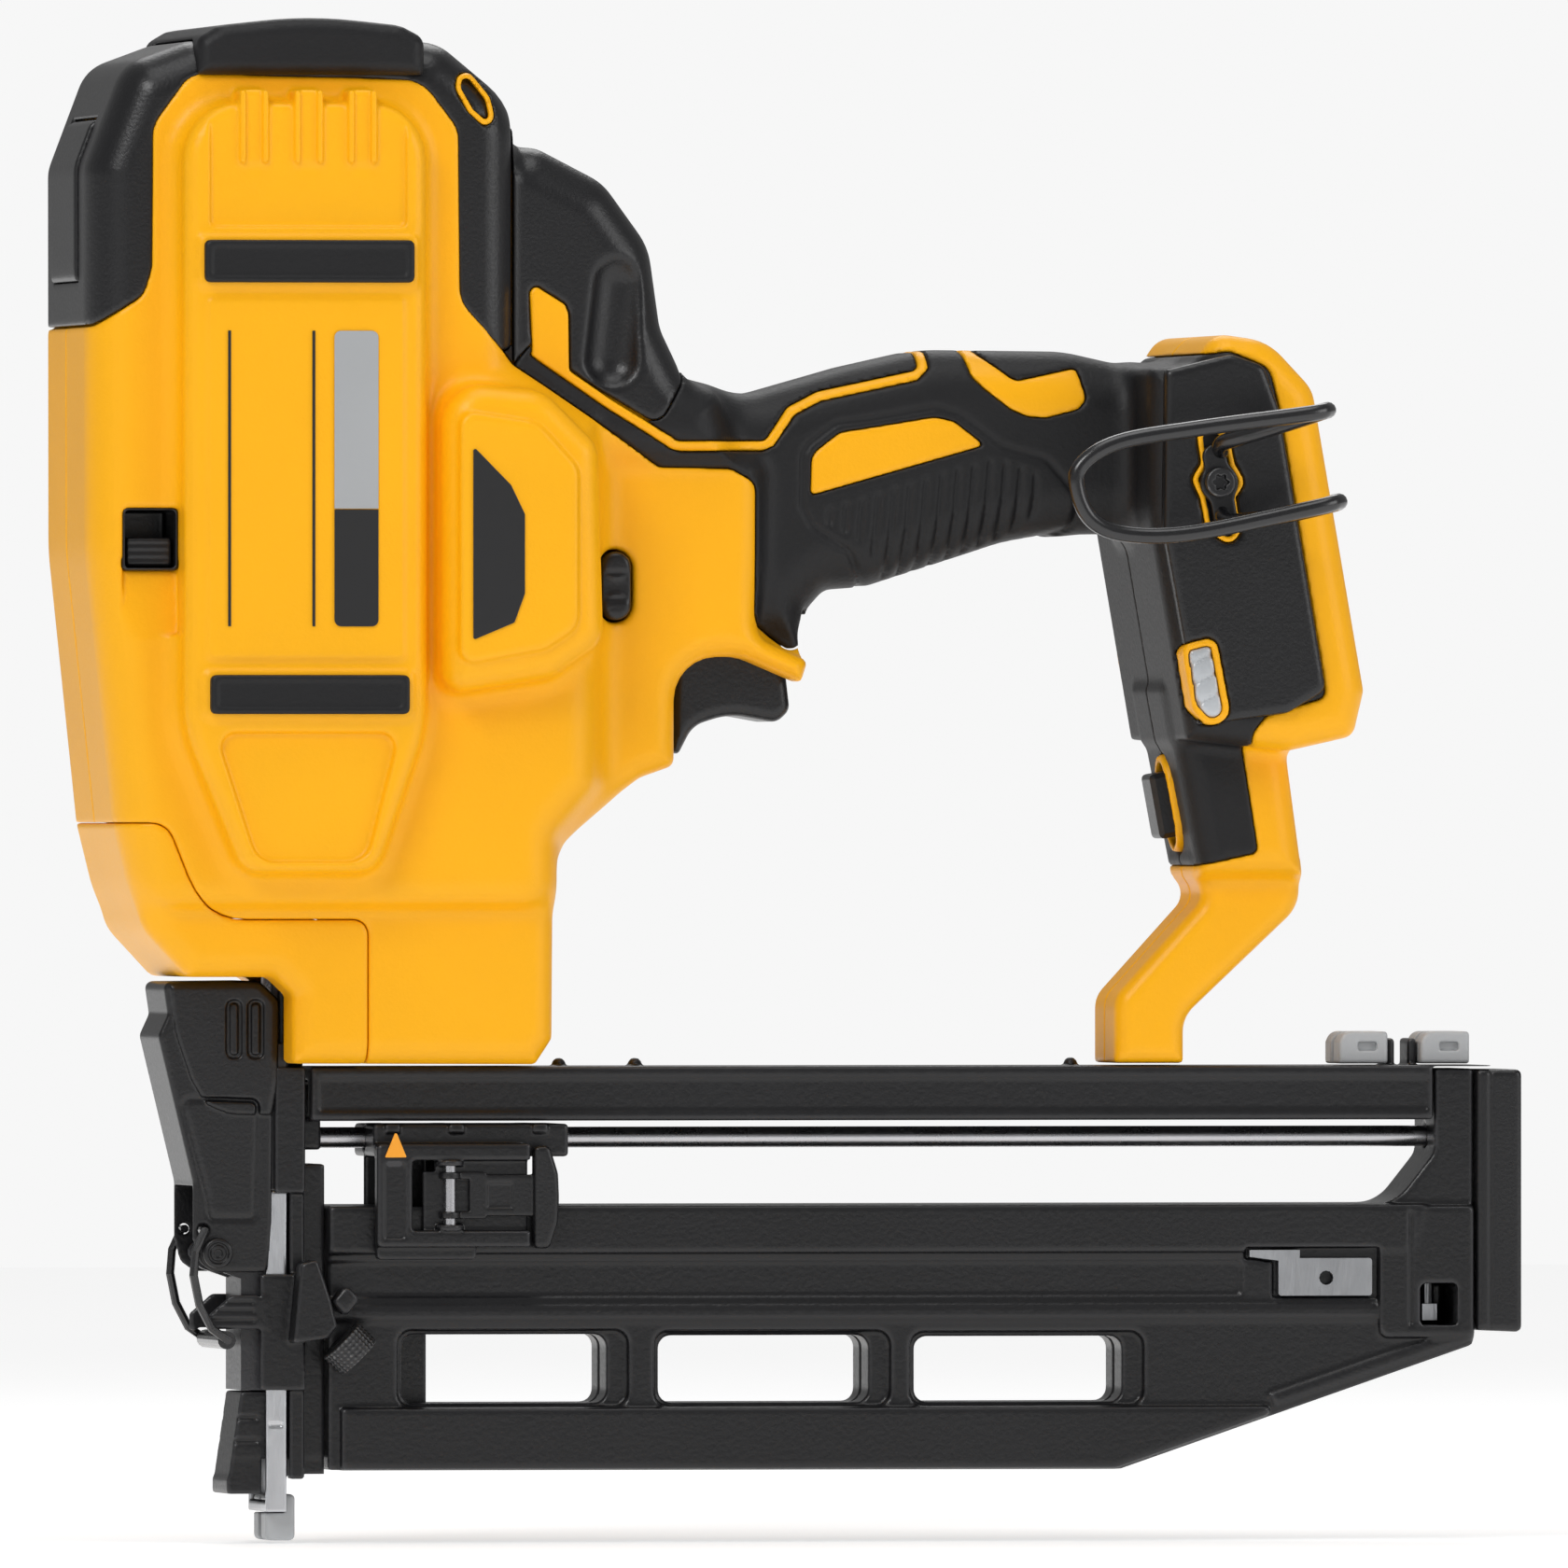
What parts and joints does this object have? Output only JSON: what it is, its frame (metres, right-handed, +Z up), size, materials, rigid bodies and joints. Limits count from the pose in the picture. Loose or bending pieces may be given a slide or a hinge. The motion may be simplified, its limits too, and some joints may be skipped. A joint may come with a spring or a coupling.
{
  "type": "brad nailer",
  "caption": "Cordless straight nailer with flywheel drive, side magazine, swing-up nose door and latch, trigger, depth wheel and belt hook, shown without its battery.",
  "frame": {"origin": "middle of the no-mar tip's rest face, where the nose meets the work", "axes": "+Z up the drive line to the top cap, +X from the nose to the back of the magazine, -Y to the tool's left side, which carries the belt hook"},
  "size_m": [0.3059, 0.1138, 0.315],
  "materials": {
    "aluminium": "as cast",
    "black_aluminium": "hard black finish",
    "black_plastic": "moulded satin",
    "black_rubber": "moulded matt",
    "black_steel": "black phosphate",
    "board": "lacquered board",
    "clear_plastic": "clear moulding",
    "grey_plastic": "moulded satin",
    "steel": "machined",
    "yellow_plastic": "moulded satin",
    "zinc": "bright zinc plate"
  },
  "bodies": {
    "tool": {"belt_hook": "steel", "control_board": "board", "door_pin": "steel", "drive_frame": "aluminium", "end_bolt": "zinc", "end_cap": "black_plastic", "foot_panel_left": "black_plastic", "foot_panel_right": "black_plastic", "front_guard": "black_plastic", "grip_left": "black_rubber", "grip_right": "black_rubber", "guide_rod_left": "steel", "guide_rod_right": "steel", "hook_screw": "black_steel", "led_lens_left": "clear_plastic", "led_lens_right": "clear_plastic", "left_shell": "yellow_plastic", "lower_bumper_left": "black_rubber", "lower_bumper_right": "black_rubber", "magazine_body": "black_aluminium", "magazine_rail": "black_aluminium", "motor_stator": "aluminium", "nose_body": "black_aluminium", "nose_cover": "yellow_plastic", "rail_rod": "steel", "rear_shroud": "black_plastic", "return_spring_left": "steel", "return_spring_right": "steel", "right_shell": "yellow_plastic", "solenoid": "steel", "spare_tip_front": "grey_plastic", "spare_tip_rear": "grey_plastic", "stop_bumper": "black_rubber", "terminal_block": "black_plastic", "top_bumper": "black_rubber", "top_cap": "black_plastic", "trigger_switch": "black_plastic", "trip_spring": "steel", "upper_bumper_left": "black_rubber", "upper_bumper_right": "black_rubber"},
    "driver": {"driver_carriage": "aluminium", "driver_blade": "steel"},
    "flywheel": {"flywheel": "steel"},
    "roller_arm": {"roller_arm": "steel"},
    "pinch_roller": {"pinch_roller": "steel"},
    "trigger": {"trigger": "black_plastic"},
    "lock_off_button": {"lock_off_button": "black_plastic"},
    "stall_lever": {"stall_lever": "black_plastic"},
    "mode_switch": {"mode_switch": "black_plastic"},
    "nose_door": {"nose_door": "black_aluminium", "latch_pin": "steel"},
    "latch_lever": {"latch_lever": "black_plastic"},
    "latch_bail": {"latch_bail": "black_steel"},
    "contact_trip": {"contact_trip": "zinc", "no_mar_tip": "grey_plastic"},
    "depth_wheel": {"depth_wheel": "black_steel"},
    "pusher": {"pusher": "black_aluminium", "feed_spring": "steel"},
    "pusher_latch": {"pusher_latch": "black_plastic"},
    "nail_stop": {"nail_stop": "zinc"}
  },
  "joints": [
    {"name": "driver_slide", "type": "slide", "parent": "tool", "child": "driver", "axis": [0, 0, -1], "range_m": [0, 0.07], "stiffness_N_per_m": 60, "springref_m": -0.02, "deforming": ["return_spring_left", "return_spring_right"]},
    {"name": "flywheel_spin", "type": "hinge", "parent": "tool", "child": "flywheel", "pos_m": [0.0364, 0, 0.208], "axis": [0, 1, 0], "continuous": true},
    {"name": "roller_arm_swing", "type": "hinge", "parent": "tool", "child": "roller_arm", "pos_m": [-0.026, 0, 0.19], "axis": [0, 1, 0], "range_deg": [-5, 0], "stiffness_Nm_per_rad": 2},
    {"name": "pinch_roller_spin", "type": "hinge", "parent": "roller_arm", "child": "pinch_roller", "pos_m": [-0.0136, 0, 0.208], "axis": [0, 1, 0], "continuous": true},
    {"name": "trigger_pull", "type": "hinge", "parent": "tool", "child": "trigger", "pos_m": [0.084, 0, 0.186], "axis": [0, -1, 0], "range_deg": [0, 9], "stiffness_Nm_per_rad": 0.5, "springref_deg": -5.73},
    {"name": "lock_off_slide", "type": "slide", "parent": "tool", "child": "lock_off_button", "axis": [0, 1, 0], "range_m": [0, 0.0024]},
    {"name": "stall_lever_slide", "type": "slide", "parent": "tool", "child": "stall_lever", "axis": [0, 0, 1], "range_m": [0, 0.0055], "stiffness_N_per_m": 200, "springref_m": -0.002},
    {"name": "mode_switch_slide", "type": "slide", "parent": "tool", "child": "mode_switch", "axis": [-0.1805, 0, 0.9836], "range_m": [-0.0017, 0.0017]},
    {"name": "nose_door_swing", "type": "hinge", "parent": "tool", "child": "nose_door", "pos_m": [-0.008, 0, 0.095], "axis": [0, 1, 0], "range_deg": [0, 17.5]},
    {"name": "latch_lever_swing", "type": "hinge", "parent": "nose_door", "child": "latch_lever", "pos_m": [-0.016, 0, 0.0596], "axis": [0, -1, 0], "range_deg": [0, 115]},
    {"name": "latch_bail_swing", "type": "hinge", "parent": "latch_lever", "child": "latch_bail", "pos_m": [-0.0188, 0, 0.0644], "axis": [0, 1, 0], "range_deg": [0, 150]},
    {"name": "contact_trip_slide", "type": "slide", "parent": "tool", "child": "contact_trip", "axis": [0, 0, 1], "range_m": [0, 0.006], "stiffness_N_per_m": 3000, "springref_m": -0.016, "deforming": ["trip_spring"]},
    {"name": "depth_wheel_turn", "type": "hinge", "parent": "tool", "child": "depth_wheel", "pos_m": [0.009, -0.017, 0.0421], "axis": [0.7071, 0, -0.7071], "range_deg": [-135, 135]},
    {"name": "pusher_slide", "type": "slide", "parent": "tool", "child": "pusher", "axis": [1, 0, 0], "range_m": [0, 0.16], "stiffness_N_per_m": 8, "springref_m": -0.8},
    {"name": "pusher_latch_swing", "type": "hinge", "parent": "pusher", "child": "pusher_latch", "pos_m": [0.0325, -0.0156, 0.071], "axis": [0, 0, -1], "range_deg": [0, 12], "stiffness_Nm_per_rad": 0.2, "springref_deg": -5.73},
    {"name": "nail_stop_flex", "type": "hinge", "parent": "tool", "child": "nail_stop", "pos_m": [0.2275, -0.012, 0.054], "axis": [0, 0, 1], "range_deg": [0, 8], "stiffness_Nm_per_rad": 0.5, "springref_deg": -2.86}
  ],
  "couplings": [
    {"joint": "nose_door_swing", "follows": "latch_lever_swing", "ratio": 0.15},
    {"joint": "latch_bail_swing", "follows": "latch_lever_swing", "ratio": 1.3}
  ]
}
